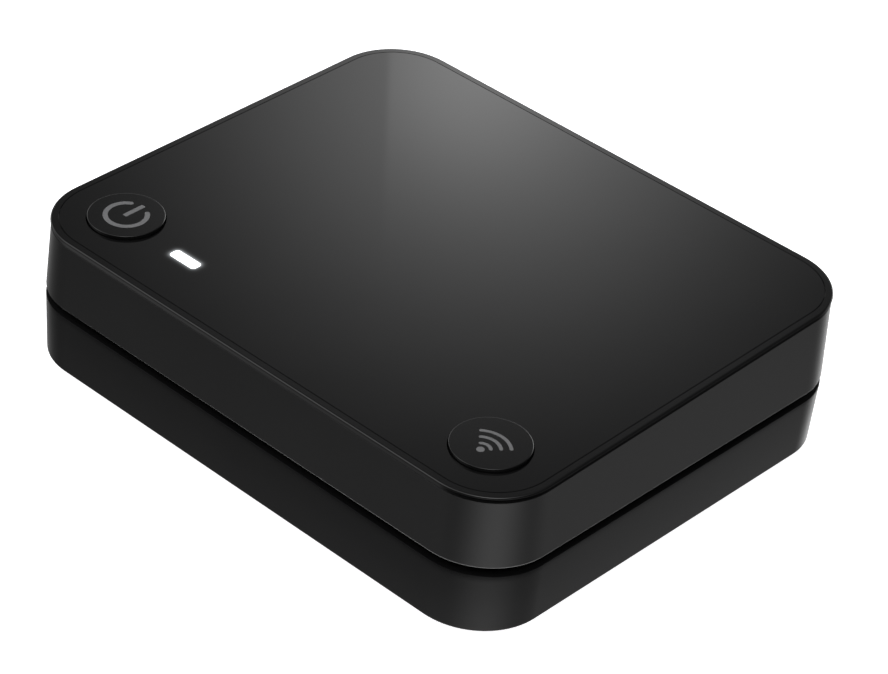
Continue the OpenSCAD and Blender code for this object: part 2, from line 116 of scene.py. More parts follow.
JACK_X, JACK_Z = -7 * MM, 8.3 * MM
JACK_FACE = PANEL_Y + 0.3 * MM
JACK_DEPTH = 14 * MM
USB_X = -24 * MM

ARC_STEPS = 20                           # segments in a quarter of a case corner
ROUND_STEPS = 96                         # segments in a full turn
SMALL_STEPS = 8                          # segments in a quarter of a small corner
SHARP = 35                               # degrees between faces that make an edge sharp
FLAT_WEIGHT = 90                         # over 50, large faces outweigh small ones in shading
SAME_PLACE = 1e-8                        # points closer than this are one point
NOTHING = 1e-7                           # lengths under this count as nothing

# puts a shape in the tilted top's own plane, its middle at the middle of the case
ON_TOP = (
    Matrix.Translation((0, MID_Y, CASE_Z + FRONT_H + SLOPE * HALF_D))
    @ Matrix.Rotation(TILT, 4, "X")
)


# ---------------------------------------------------------------- mesh tools
def rounded_loop(half_w, half_d, radius, steps, centre=(0, 0)):
    """Points of a rounded rectangle, anticlockwise from the right-hand end of its front."""
    points = []
    quarters = ((1, -1, -90), (1, 1, 0), (-1, 1, 90), (-1, -1, 180))
    for sx, sy, start in quarters:
        for i in range(steps + 1):
            angle = math.radians(start + 90 * i / steps)
            x = sx * (half_w - radius) + radius * math.cos(angle)
            y = sy * (half_d - radius) + radius * math.sin(angle)
            points.append((centre[0] + x, centre[1] + y))
    return points


def outline(inset):
    """The case's outline, moved in by inset."""
    return rounded_loop(HALF_W - inset, HALF_D - inset, CORNER_R - inset, ARC_STEPS)


def circle(radius, centre=(0, 0), steps=ROUND_STEPS):
    """Points of a circle, anticlockwise."""
    turn = 2 * math.pi / steps
    return [
        (centre[0] + radius * math.cos(i * turn), centre[1] + radius * math.sin(i * turn))
        for i in range(steps)
    ]


def flat(points, z):
    """A loop at height z above the case's underside."""
    return [Vector((x, y + MID_Y, CASE_Z + z)) for x, y in points]


def under_top(points, depth):
    """A loop whose height follows the tilted top, depth below it, straight down from its outline."""
    height = CASE_Z + FRONT_H + SLOPE * HALF_D - depth
    return [Vector((x, y + MID_Y, height + SLOPE * y)) for x, y in points]


def on_top(points, z):
    """A loop in the tilted top's own plane, z above it."""
    return [ON_TOP @ Vector((x, y, z)) for x, y in points]


def polar(centre, radius, degrees):
    """The point at a radius and an angle from a centre."""
    angle = math.radians(degrees)
    return centre[0] + radius * math.cos(angle), centre[1] + radius * math.sin(angle)


def arc(centre, radius, start, end, steps):
    """Points of an arc in a profile's own plane, angles in degrees."""
    return [polar(centre, radius, start + (end - start) * i / steps) for i in range(steps + 1)]


class Skin:
    """Collects loops, the walls between them and the flat faces that close them."""

    def __init__(self):
        self.bm = bmesh.new()

    def loop(self, points):
        """A closed loop's points, as vertices."""
        return [self.bm.verts.new(p) for p in points]

    def wall(self, a, b, level=False):
        """A band of faces between two loops; level keeps them flat."""
        count = len(a)
        for i in range(count):
            j = (i + 1) % count
            self.bm.faces.new((a[i], a[j], b[j], b[i])).smooth = not level

    def walls(self, loops):
        """Smooth bands from each loop to the next."""
        for a, b in zip(loops, loops[1:]):
            self.wall(a, b)

    def sheet(self, *loops):
        """Fills the first loop, less the others, which are holes in it."""
        edges = []
        for loop in loops:
            for i, vert in enumerate(loop):
                after = loop[(i + 1) % len(loop)]
                edges.append(self.bm.edges.get((vert, after)) or self.bm.edges.new((vert, after)))
        made = bmesh.ops.triangle_fill(self.bm, use_beauty=True, use_dissolve=False, edges=edges)
        for item in made["geom"]:
            if isinstance(item, bmesh.types.BMFace):
                item.smooth = False

    def finish(self, name, material, sharp=SHARP):
        """Makes the collected faces an object."""
        bm = self.bm
        bmesh.ops.remove_doubles(bm, verts=bm.verts, dist=SAME_PLACE)
        bmesh.ops.recalc_face_normals(bm, faces=bm.faces)
        mesh = bpy.data.meshes.new(name)
        bm.to_mesh(mesh)
        bm.free()
        return add_object(name, mesh, material, sharp)


def add_object(name, mesh, material, sharp=SHARP):
    """Links a mesh as an object, with sharp edges where its faces turn by more than an angle."""
    rounded = [face.use_smooth for face in mesh.polygons]
    mesh.set_sharp_from_angle(angle=math.radians(sharp))
    mesh.polygons.foreach_set("use_smooth", rounded)
    obj = bpy.data.objects.new(name, mesh)
    bpy.context.scene.collection.objects.link(obj)
    obj.data.materials.append(material)
    weighted = obj.modifiers.new("flat_faces", "WEIGHTED_NORMAL")
    weighted.keep_sharp = True
    weighted.weight = FLAT_WEIGHT
    return obj


def lathe(name, profile, place, material, steps=ROUND_STEPS):
    """Turns a profile of (radius, height) points about Z, then puts it in place. Radius 0 closes an end."""
    skin = Skin()
    rings = []
    for radius, height in profile:
        if radius < NOTHING:
            rings.append([skin.bm.verts.new(place @ Vector((0, 0, height)))])
        else:
            rings.append(skin.loop([place @ Vector((x, y, height)) for x, y in circle(radius, steps=steps)]))
    for (a, b), (low, high) in zip(zip(rings, rings[1:]), zip(profile, profile[1:])):
        level = abs(low[1] - high[1]) < NOTHING
        if len(a) == 1:
            for i in range(len(b)):
                skin.bm.faces.new((a[0], b[(i + 1) % len(b)], b[i])).smooth = not level
        elif len(b) == 1:
            for i in range(len(a)):
                skin.bm.faces.new((a[i], a[(i + 1) % len(a)], b[0])).smooth = not level
        else:
            skin.wall(a, b, level)
    return skin.finish(name, material)


def join(name, parts):
    """Joins meshes that are one piece."""
    bm = bmesh.new()
    for part in parts:
        bm.from_mesh(part.data)
    mesh = bpy.data.meshes.new(name)
    bm.to_mesh(mesh)
    bm.free()
    material = parts[0].data.materials[0]
    for part in parts:
        bpy.data.objects.remove(part)
    return add_object(name, mesh, material)


def cut(obj, cutter):
    """Takes the cutter out of the object and deletes it."""
    modifier = obj.modifiers.new("cut", "BOOLEAN")
    modifier.operation = "DIFFERENCE"
    modifier.solver = "EXACT"
    modifier.object = cutter
    obj.modifiers.move(len(obj.modifiers) - 1, 0)
    with bpy.context.temp_override(object=obj, active_object=obj):
        bpy.ops.object.modifier_apply(modifier="cut")
    bpy.data.objects.remove(cutter)


def box_mesh(name, low, high, material):
    """A box between two corners, for cutting with."""
    bm = bmesh.new()
    bmesh.ops.create_cube(bm, size=1.0)
    for vert in bm.verts:
        for i in range(3):
            vert.co[i] = low[i] if vert.co[i] < 0 else high[i]
    mesh = bpy.data.meshes.new(name)
    bm.to_mesh(mesh)
    bm.free()
    return add_object(name, mesh, material)


def piece(obj, body, node):
    """Rides on a body and stands for a CAD node, whose own mesh it hides."""
    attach(obj, body)
    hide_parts(node)


# ---------------------------------------------------------------- shader tools
def new_material(name):
    material = bpy.data.materials.new(name)
    material.use_nodes = True
    tree = material.node_tree
    return material, tree, tree.nodes["Principled BSDF"]


def own_place(tree):
    """The shaded point's place in the object's own metres."""
    return tree.nodes.new("ShaderNodeTexCoord").outputs["Object"]


def calculate(tree, operation, value, other=None):
    """The result of a Math node; other is a number or another node's output."""
    node = tree.nodes.new("ShaderNodeMath")
    node.operation = operation
    tree.links.new(value, node.inputs[0])
    if isinstance(other, (int, float)):
        node.inputs[1].default_value = other
    elif other is not None:
        tree.links.new(other, node.inputs[1])
    return node.outputs["Value"]


def calculate_vector(tree, operation, value, other=(0, 0, 0)):
    """The result of a Vector Math node: a number for a length or a dot product, and else a vector."""
    node = tree.nodes.new("ShaderNodeVectorMath")
    node.operation = operation
    node.inputs[1].default_value = other
    tree.links.new(value, node.inputs[0])
    return node.outputs["Value" if operation in ("LENGTH", "DOT_PRODUCT") else "Vector"]


def ramp(tree, value, start, end, low=0.0, high=1.0, smooth=True):
    """Goes from low to high while the value goes from start to end."""
    node = tree.nodes.new("ShaderNodeMapRange")
    node.interpolation_type = "SMOOTHSTEP" if smooth else "LINEAR"
    node.inputs["From Min"].default_value = start
    node.inputs["From Max"].default_value = end
    node.inputs["To Min"].default_value = low
    node.inputs["To Max"].default_value = high
    tree.links.new(value, node.inputs["Value"])
    return node.outputs["Result"]


def noise(tree, scale, detail=3.0):
    """A noise over the object's own place; scale is the number of features in a metre."""
    texture = tree.nodes.new("ShaderNodeTexNoise")
    texture.inputs["Scale"].default_value = scale
    texture.inputs["Detail"].default_value = detail
    tree.links.new(own_place(tree), texture.inputs["Vector"])
    return texture.outputs["Fac"]


def spread(tree, source, low, high):
    """Maps a noise's middle range to values from low to high."""
    return ramp(tree, source, 0.3, 0.7, low, high, smooth=False)


def tint(tree, source, dark, light):
    """Mixes two colours by a noise."""
    node = tree.nodes.new("ShaderNodeMix")
    node.data_type = "RGBA"
    tree.links.new(spread(tree, source, 0.0, 1.0), node.inputs["Factor"])
    node.inputs["A"].default_value = (*dark, 1)
    node.inputs["B"].default_value = (*light, 1)
    return node.outputs["Result"]


def relief(tree, source, distance):
    """Raises the surface by up to a distance where the source is high."""
    node = tree.nodes.new("ShaderNodeBump")
    node.inputs["Strength"].default_value = 1.0
    node.inputs["Distance"].default_value = distance
    tree.links.new(source, node.inputs["Height"])
    return node.outputs["Normal"]


# ---------------------------------------------------------------- materials
PATCH = 120                              # drifts of tone in a metre
CASE_GRAIN = 5200                        # grains of the moulded finish in a metre
GRAIN_DETAIL = 2.0
WHITE = (1, 1, 1, 1)


def surface(name, dark, light, rough, grain=9000, bump=0.0, metallic=0.0, patch=PATCH, specular=0.5):
    """A moulded, plated or painted surface: its tone drifts in patches and its gloss and relief in grain."""
    material, tree, shader = new_material(name)
    shader.inputs["Metallic"].default_value = metallic
    shader.inputs["Specular IOR Level"].default_value = specular
    links = tree.links
    links.new(tint(tree, noise(tree, patch), dark, light), shader.inputs["Base Color"])
    fine = noise(tree, grain, GRAIN_DETAIL)
    links.new(spread(tree, fine, *rough), shader.inputs["Roughness"])
    if bump:
        links.new(relief(tree, fine, bump), shader.inputs["Normal"])
    return material


def grey(low, high):
    """A dark and a light grey, both a little cold."""
    return (low, low, low * 1.03), (high, high, high * 1.03)


CASE_TONES = grey(0.0048, 0.006)
GLOSS_TONES = grey(0.0045, 0.0055)       # of the cap, the buttons and the plate
CASE = surface("case_plastic", *CASE_TONES, (0.21, 0.25), grain=CASE_GRAIN, bump=0.000001)
RIM = surface("rim_plastic", *GLOSS_TONES, (0.08, 0.1), grain=CASE_GRAIN, specular=0.42)
CAP = surface("button_plastic", *GLOSS_TONES, (0.08, 0.1), grain=CASE_GRAIN, specular=0.45)
INK = surface("legend_ink", *grey(0.15, 0.18), (0.45, 0.55), grain=20000)
SOCKET = surface("socket_black", *grey(0.008, 0.011), (0.34, 0.45), grain=7000, bump=0.00001)
SWITCH = surface("switch_plastic", *grey(0.02, 0.03), (0.4, 0.5))
CHIP = surface("chip_black", *grey(0.012, 0.018), (0.5, 0.62), grain=14000, bump=0.00001)
NICKEL = surface("socket_nickel", *grey(0.66, 0.74), (0.12, 0.2), metallic=1.0)
ZINC = surface("zinc_steel", *grey(0.42, 0.52), (0.25, 0.38), metallic=1.0)
TIN = surface("shield_steel", *grey(0.5, 0.6), (0.28, 0.4), metallic=1.0)
GOLD = surface("copper_gold", (0.72, 0.48, 0.16), (0.84, 0.6, 0.24), (0.18, 0.28), metallic=1.0)
GREEN = surface("board_green", (0.008, 0.07, 0.025), (0.014, 0.1, 0.04), (0.25, 0.35), patch=420)
BLUE = surface("board_blue", (0.006, 0.03, 0.1), (0.01, 0.045, 0.14), (0.25, 0.35), patch=420)
CREAM = surface("connector_cream", (0.66, 0.6, 0.45), (0.74, 0.69, 0.55), (0.4, 0.5))
RIBBON = surface("ribbon_white", *grey(0.6, 0.7), (0.35, 0.45))
SLEEVE = surface("capacitor_sleeve", (0.012, 0.016, 0.045), (0.02, 0.026, 0.065), (0.25, 0.35))
CERAMIC = surface("ceramic_tan", (0.32, 0.23, 0.15), (0.42, 0.31, 0.21), (0.45, 0.6))
LED_BODY = surface("led_body", (0.72, 0.7, 0.5), (0.82, 0.8, 0.6), (0.3, 0.4))
INSULATOR = surface("insulator_white", *grey(0.62, 0.7), (0.35, 0.45))
WHITE_RING = surface("collar_white", *grey(0.68, 0.76), (0.28, 0.36))
RED_RING = surface("collar_red", (0.38, 0.008, 0.008), (0.46, 0.014, 0.012), (0.28, 0.36))
RUBBER = surface("foot_rubber", *grey(0.016, 0.026), (0.62, 0.75), grain=6000, bump=0.00002)
LABEL = surface("label_film", *grey(0.4, 0.46), (0.42, 0.52), grain=16000)


def base_plastic_painted_shade():
    """The case's plastic, with painted reflection and shade: its sheen is painted stronger low on the lower
    tier and fades up the wall, and painted shade turns it down most of all just under the groove.
    """
    material, tree, shader = new_material("base_plastic_painted_shade")
    links = tree.links
    links.new(tint(tree, noise(tree, PATCH), *CASE_TONES), shader.inputs["Base Color"])
    grain = noise(tree, CASE_GRAIN, GRAIN_DETAIL)
    links.new(spread(tree, grain, 0.22, 0.26), shader.inputs["Roughness"])
    place = tree.nodes.new("ShaderNodeSeparateXYZ")
    links.new(own_place(tree), place.inputs["Vector"])
    brim = CASE_Z + LOWER_H
    under_groove = 1.3 * MM
    # painted reflection fading up the lower wall, and painted shade just under the groove, set by height
    # through the specular level
    painted_reflection_up_the_wall = ramp(tree, place.outputs["Z"], CASE_Z, brim, 0.4, 0.27)
    painted_shade_at_the_brim = ramp(tree, place.outputs["Z"], brim - under_groove, brim, 1.0, 0.4)
    painted_shade_sheen = calculate(tree, "MULTIPLY", painted_reflection_up_the_wall, painted_shade_at_the_brim)
    links.new(painted_shade_sheen, shader.inputs["Specular IOR Level"])
    return material


def glossy_plate():
    """Polished black, with a painted glow where the status window's light bleeds a little way into it."""
    material, tree, shader = new_material("gloss_black")
    links = tree.links
    links.new(tint(tree, noise(tree, 90), *GLOSS_TONES), shader.inputs["Base Color"])
    links.new(spread(tree, noise(tree, 260), 0.024, 0.03), shader.inputs["Roughness"])
    # painted glow: the plate emits light around the window, fading with distance from it
    reach = 0.22 * MM                    # over which the light falls to about a third
    brightest = 0.48
    any_height = 1.0
    straight = (WINDOW_SIZE[0] / 2 - WINDOW_R, WINDOW_SIZE[1] / 2 - WINDOW_R, any_height)
    off = calculate_vector(tree, "SUBTRACT", own_place(tree), ON_TOP @ Vector((*WINDOW_AT, 0)))
    off = calculate_vector(tree, "SUBTRACT", calculate_vector(tree, "ABSOLUTE", off), straight)
    off = calculate_vector(tree, "LENGTH", calculate_vector(tree, "MAXIMUM", off))
    off = calculate(tree, "MULTIPLY", calculate(tree, "SUBTRACT", off, WINDOW_R), -1 / reach)
    glow = calculate(tree, "MULTIPLY", calculate(tree, "EXPONENT", off), brightest)
    shader.inputs["Emission Color"].default_value = (0.93, 0.97, 1.0, 1)
    links.new(glow, shader.inputs["Emission Strength"])
    return material


def lit_lens():
    """The milky window, lit from below."""
    material, tree, shader = new_material("window_lens")
    shader.inputs["Base Color"].default_value = (0.85, 0.88, 0.9, 1)
    tree.links.new(spread(tree, noise(tree, 1500), 0.2, 0.26), shader.inputs["Roughness"])
    shader.inputs["Emission Color"].default_value = (0.97, 0.99, 1.0, 1)
    tree.links.new(spread(tree, noise(tree, 700), 1.5, 1.7), shader.inputs["Emission Strength"])
    return material


# the lower case's plastic, with painted reflection and painted shade under the groove
BASE_PAINTED_SHADE = base_plastic_painted_shade()
GLOSS = glossy_plate()
LENS = lit_lens()


# ---------------------------------------------------------------- case
def top_holes(skin, place, z_top, z_bottom):
    """Cuts the button and window holes through a plate; returns their upper and lower loops."""
    shapes = [circle(HOLE_R, (side * BUTTON_X, BUTTON_Y)) for side in (-1, 1)]
    half = (WINDOW_SIZE[0] / 2 + WINDOW_GAP, WINDOW_SIZE[1] / 2 + WINDOW_GAP)
    shapes.append(rounded_loop(*half, WINDOW_R, SMALL_STEPS, WINDOW_AT))
    uppers = [skin.loop(place(shape, z_top)) for shape in shapes]
    lowers = [skin.loop(place(shape, z_bottom)) for shape in shapes]
    for upper, lower in zip(uppers, lowers):
        skin.wall(upper, lower)
    return uppers, lowers


def lean(z):
    """Inset of the upper wall at a height above the case's underside."""
    return UPPER_LEAN * (z - UPPER_H) / LEAN_H


def panel_cutter():
    """The opening for the socket panel in the back wall, a little larger than the panel."""
    reach = 5 * MM
    gap = 0.1 * MM
    back = MID_Y + HALF_D
    return box_mesh(
        "cutter",
        (PANEL_LEFT - gap, back - reach, PANEL_BOTTOM - gap),
        (PANEL_RIGHT + gap, back + reach, PANEL_TOP + gap),
        CASE,
    )


def upper_shell():
    """The upper case: a leaning wall, rounded at its foot, and the deck with its three holes."""
    skin = Skin()
    soft = 0.34 * MM
    edge = 0.03 * MM
    loops = []
    for inset, z in arc((soft, UPPER_H + soft), soft, -90, -180, 6):
        loops.append(skin.loop(flat(outline(inset), z)))
    wall_top = lean(FRONT_H + SLOPE * HALF_D)
    for inset, depth in arc((wall_top + edge, CAP_T + edge), edge, -180, -90, 3):
        loops.append(skin.loop(under_top(outline(inset), depth)))
    skin.walls(loops)
    uppers, lowers = top_holes(skin, under_top, CAP_T, CAP_T + DECK_T)
    skin.sheet(loops[-1], *uppers)
    ceiling = skin.loop(under_top(outline(UPPER_WALL + wall_top), CAP_T + DECK_T))
    skin.sheet(ceiling, *lowers)
    foot = skin.loop(flat(outline(UPPER_WALL), UPPER_H))
    skin.walls([ceiling, foot])
    skin.wall(foot, loops[0], level=True)
    obj = skin.finish("upper_shell", CASE)
    cut(obj, panel_cutter())
    piece(obj, "case", "upper_case")


def underside_recesses():
    """Outline and depth of each recess: for the feet, the case screws and the label."""
    foot_gap = 0.1 * MM
    screw_r, screw_depth = 2.6 * MM, 1.9 * MM
    label = rounded_loop(25 * MM, 13 * MM, 1.5 * MM, SMALL_STEPS)
    recesses = [(circle(FOOT_R + foot_gap, spot), 0.8 * MM) for spot in FEET]
    recesses += [(circle(screw_r, spot, ROUND_STEPS // 2), screw_depth) for spot in SCREWS]
    return recesses + [(label, 0.15 * MM)]


def lower_shell():
    """The lower case: a tray with a lip behind the groove, and recesses underneath."""
    skin = Skin()
    soft = 0.16 * MM
    edge = 0.05 * MM
    loops = []
    for inset, z in arc((LOWER_LEAN + soft, soft), soft, -90, -180, 6):
        loops.append(skin.loop(flat(outline(inset), z)))
    for inset, z in arc((edge, LOWER_H - edge), edge, 180, 90, 5):
        loops.append(skin.loop(flat(outline(inset), z)))
    inner = LIP_INSET + LIP_T
    for inset, z in (
        (LIP_INSET, LOWER_H),
        (LIP_INSET, LIP_TOP),
        (inner, LIP_TOP),
        (inner, LIP_FOOT),
        (LOWER_WALL, LIP_FOOT - LIP_BEVEL),
        (LOWER_WALL, FLOOR_T),
    ):
        loops.append(skin.loop(flat(outline(inset), z)))
    skin.walls(loops)
    skin.sheet(loops[-1])
    mouths = []
    for shape, depth in underside_recesses():
        mouth = skin.loop(flat(shape, 0))
        end = skin.loop(flat(shape, depth))
        skin.wall(mouth, end)
        skin.sheet(end)
        mouths.append(mouth)
    skin.sheet(loops[0], *mouths)
    # its material has painted reflection and painted shade under the groove
    obj = skin.finish("lower_shell", BASE_PAINTED_SHADE)
    cut(obj, panel_cutter())
    piece(obj, "case", "lower_case")


def top_rim():
    """The cap: bevelled neck, thin rim, flat band and the pocket for the plate."""
    skin = Skin()
    soft = 0.28 * MM
    edge = arc((RIM_INSET + soft, -soft), soft, 180, 90, 10)
    profile = [(NECK_FOOT, -CAP_T), (NECK_HEAD, -RIM_T), (RIM_INSET, -RIM_T)] + edge
    loops = [skin.loop(on_top(outline(inset), z)) for inset, z in profile]
    skin.walls(loops)
    brink = skin.loop(on_top(outline(POCKET_INSET), 0))
    pocket = skin.loop(on_top(outline(POCKET_INSET), -PLATE_T))
    skin.wall(loops[-1], brink, level=True)
    skin.wall(brink, pocket)
    uppers, lowers = top_holes(skin, on_top, -PLATE_T, -CAP_T)
    skin.sheet(pocket, *uppers)
    skin.sheet(loops[0], *lowers)
    piece(skin.finish("top_rim", RIM), "case", "top_cap")


def top_plate():
    """The polished plate, with its three holes."""
    skin = Skin()
    inset = POCKET_INSET + PLATE_GAP
    face = skin.loop(on_top(outline(inset), 0))
    under = skin.loop(on_top(outline(inset), -PLATE_T))
    skin.wall(under, face)
    uppers, lowers = top_holes(skin, on_top, 0, -PLATE_T)
    skin.sheet(face, *uppers)
    skin.sheet(under, *lowers)
    piece(skin.finish("top_plate", GLOSS), "case", "gloss_plate")


# ---------------------------------------------------------------- buttons and window
def button_place(side):
    """Puts a shape at a button's middle, in the tilted top's plane; side is -1 left and 1 right."""
    return ON_TOP @ Matrix.Translation((side * BUTTON_X, BUTTON_Y, 0))


def button(name, body, side, node):
    """A round cap with a rounded shoulder, and its flange and stem inside the case."""
    soft = 0.12 * MM
    play = 0.05 * MM                     # between the flange and the deck over it
    flange_r, flange_t = 7.2 * MM, 0.9 * MM
    stem_r, stem_end = 2 * MM, -5.4 * MM
    under = -CAP_T - DECK_T - play
    profile = [(part * BUTTON_R, PROUD) for part in (0, 0.45, 0.8)]
    profile += arc((BUTTON_R - soft, PROUD - soft), soft, 90, 0, 8)
    profile += [
        (BUTTON_R, under),
        (flange_r, under),
        (flange_r, under - flange_t),
        (stem_r, under - flange_t),
        (stem_r, stem_end),
        (0, stem_end),
    ]
    piece(lathe(name, profile, button_place(side), CAP), body, node)


def print_shape(skin, place, points):
    """A thin flat shape of ink on a button's face."""
    upper = skin.loop([place @ Vector((x, y, PROUD + INK_T)) for x, y in points])
    lower = skin.loop([place @ Vector((x, y, PROUD)) for x, y in points])
    skin.wall(upper, lower)
    skin.sheet(upper)
    skin.sheet(lower)


def print_arc(skin, place, centre, radius, stroke, start, end):
    """A printed band along an arc, with round ends; angles in degrees from +X."""
    outer = arc(centre, radius + stroke / 2, start, end, 40)
    tail = arc(polar(centre, radius, end), stroke / 2, end, end + 180, 8)
    inner = arc(centre, radius - stroke / 2, end, start, 40)
    head = arc(polar(centre, radius, start), stroke / 2, start + 180, start + 360, 8)
    print_shape(skin, place, outer + tail[1:-1] + inner + head[1:-1])


def power_legend():
    """The plain on and off sign: an open ring and a bar."""
    ring_r, stroke = 3.22 * MM, 0.8 * MM
    opening = 35                         # half of the ring's opening, in degrees
    bar = rounded_loop(stroke / 2, 2 * MM, 0.1 * MM, 4, (0, 1.6 * MM))
    skin = Skin()
    print_arc(skin, button_place(-1), (0, 0), ring_r, stroke, 90 + opening, 450 - opening)
    print_shape(skin, button_place(-1), bar)
    piece(skin.finish("power_sign", INK), "power_button", "power_legend")


def pairing_legend():
    """Waves spreading from a dot."""
    dot, dot_r = (0, -2.2 * MM), 0.6 * MM
    wave_gap, stroke = 1.45 * MM, 0.55 * MM
    half_angle = 42
    skin = Skin()
    print_shape(skin, button_place(1), circle(dot_r, dot, 32))
    for i in (1, 2, 3):
        print_arc(skin, button_place(1), dot, i * wave_gap, stroke, 90 - half_angle, 90 + half_angle)
    piece(skin.finish("pairing_sign", INK), "pairing_button", "pairing_legend")


def window():
    """The lit window, its edge just rounded, down to the lamp."""
    skin = Skin()
    lip = 0.06 * MM
    half_w, half_d = WINDOW_SIZE[0] / 2, WINDOW_SIZE[1] / 2
    loops = []
    for offset, z in [(0, -GUIDE_DEPTH)] + arc((lip, -lip), lip, 180, 90, 3):
        shape = rounded_loop(half_w - offset, half_d - offset, WINDOW_R - offset, SMALL_STEPS, WINDOW_AT)
        loops.append(skin.loop(on_top(shape, z)))
    skin.walls(loops)
    skin.sheet(loops[-1])
    skin.sheet(loops[0])
    piece(skin.finish("window", LENS), "case", "status_window")


# ---------------------------------------------------------------- rear sockets
def backwards(x, z):
    """Puts a lathe's axis along +Y, with height zero at the middle of the case."""
    return Matrix.Translation((x, MID_Y, CASE_Z + z)) @ Matrix.Rotation(-math.pi / 2, 4, "X")


def rear_plate():
    """The socket plate, its outer edge just broken, with its four holes."""
    soft = 0.12 * MM
    phono_r, jack_r = 5 * MM, 3.1 * MM
    slot_half = 4.2 * MM
    slot_bottom, slot_top = CASE_Z + 4.8 * MM, CASE_Z + 8.2 * MM
    skin = Skin()

    def face(shape, y):
        return skin.loop([Vector((x, MID_Y + y, z)) for x, z in shape])

    def rectangle(x0, x1, z0, z1):
        middle = ((x0 + x1) / 2, (z0 + z1) / 2)
        return rounded_loop((x1 - x0) / 2, (z1 - z0) / 2, 0.3 * MM, 4, middle)

    outer = rectangle(PANEL_LEFT, PANEL_RIGHT, PANEL_BOTTOM, PANEL_TOP)
    inner = rectangle(PANEL_LEFT + soft, PANEL_RIGHT - soft, PANEL_BOTTOM + soft, PANEL_TOP - soft)
    loops = [face(outer, PANEL_BACK), face(outer, PANEL_Y - soft), face(inner, PANEL_Y)]
    skin.walls(loops)
    shapes = [circle(phono_r, (x, CASE_Z + PHONO_Z)) for x in PHONO_X]
    shapes.append(circle(jack_r, (JACK_X, CASE_Z + JACK_Z), 64))
    shapes.append(rectangle(USB_X - slot_half, USB_X + slot_half, slot_bottom, slot_top))
    fronts = [face(shape, PANEL_Y) for shape in shapes]
    backs = [face(shape, PANEL_BACK) for shape in shapes]
    for a, b in zip(fronts, backs):
        skin.wall(a, b)
    skin.sheet(loops[-1], *fronts)
    skin.sheet(loops[0], *backs)
    piece(skin.finish("socket_plate", CASE), "case", "rear_panel")


def phono_pair(name, profile, material, steps, node):
    """The same turned shape at both phono sockets, as one piece."""
    parts = [lathe("part", profile, backwards(x, PHONO_Z), material, steps) for x in PHONO_X]
    piece(join(name, parts), "case", node)


def phono_sleeves():
    """Plated outer contacts with a rolled tip, a little thinner inside the collars."""
    outer, inner = 4.15 * MM, 3.4 * MM
    root = 3.8 * MM                      # outer radius inside the collars
    soft, lip, step = 0.25 * MM, 0.2 * MM, 0.1 * MM
    profile = [(inner, PHONO_START), (root, PHONO_START), (root, PHONO_FACE)]
    profile += [(outer - step, PHONO_FACE), (outer, PHONO_FACE + step)]
    profile += arc((outer - soft, PHONO_TIP - soft), soft, 0, 90, 6)
    profile += arc((inner + lip, PHONO_TIP - lip), lip, 90, 180, 5)
    profile += [profile[0]]
    phono_pair("phono_sleeves_plated", profile, NICKEL, 72, "phono_sleeves")


def phono_cores():
    """Moulded insulators with a coned mouth round the centre contact."""
    outer, inner, mouth = 3.35 * MM, 2.05 * MM, 2.45 * MM
    soft, cone = 0.2 * MM, 0.5 * MM
    tip = PHONO_TIP - 0.6 * MM
    profile = [(inner, PHONO_START), (outer, PHONO_START)]
    profile += arc((outer - soft, tip - soft), soft, 0, 90, 4)
    profile += [(mouth, tip), (inner, tip - cone), profile[0]]
    phono_pair("phono_cores", profile, INSULATOR, 64, "phono_insulators")


def phono_pins():
    """Gilt centre contacts, hollow to take a plug's pin."""
    outer, inner = 2 * MM, 1.65 * MM
    soft = 0.1 * MM
    tip = PHONO_TIP - 0.9 * MM
    hole_end = PHONO_START + 2 * MM
    profile = [(0, PHONO_START), (outer, PHONO_START), (outer, tip - soft)]
    profile += [(outer - soft, tip), (inner + soft, tip), (inner, tip - soft)]
    profile += [(inner, hole_end), (0, hole_end)]
    phono_pair("phono_pins", profile, GOLD, 48, "phono_contacts")


def phono_collar(name, x, material, node):
    """A coloured collar with a rounded rim."""
    outer, inner = 4.9 * MM, 3.85 * MM
    soft, step = 0.2 * MM, 0.1 * MM
    profile = [(inner, FLANGE_Y), (outer, FLANGE_Y)]
    profile += arc((outer - soft, PHONO_FACE - soft), soft, 0, 90, 5)
    profile += [(inner + step, PHONO_FACE), (inner, PHONO_FACE - step), profile[0]]
    piece(lathe(name, profile, backwards(x, PHONO_Z), material, 80), "case", node)


def jack():
    """The stereo jack: a block on the board with a rounded nose and a coned mouth."""
    bore, nose_r, hole_r = 1.8 * MM, 3 * MM, 2.95 * MM
    soft, cone = 0.25 * MM, 0.35 * MM
    bore_end = JACK_FACE - JACK_DEPTH
    back = bore_end - 1 * MM
    profile = [(0, back), (nose_r, back)]
    profile += arc((nose_r - soft, JACK_FACE - soft), soft, 0, 90, 5)
    profile += [(bore + cone, JACK_FACE), (bore, JACK_FACE - cone), (bore, bore_end), (0, bore_end)]
    nose = lathe("nose", profile, backwards(JACK_X, JACK_Z), SOCKET, 64)
    low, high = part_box("jack_housing")
    sides = [(low.x, low.z), (high.x, low.z), (high.x, high.z), (low.x, high.z)]
    hole = circle(hole_r, (JACK_X, CASE_Z + JACK_Z), 64)
    skin = Skin()
    ends = []
    for y in (low.y, MID_Y + FLANGE_Y):
        loops = [skin.loop([Vector((x, y, z)) for x, z in shape]) for shape in (sides, hole)]
        skin.sheet(*loops)
        ends.append(loops)
    for front, rear in zip(*ends):
        skin.wall(front, rear)
    block = skin.finish("block", SOCKET)
    piece(join("stereo_jack", [nose, block]), "case", "jack_housing")


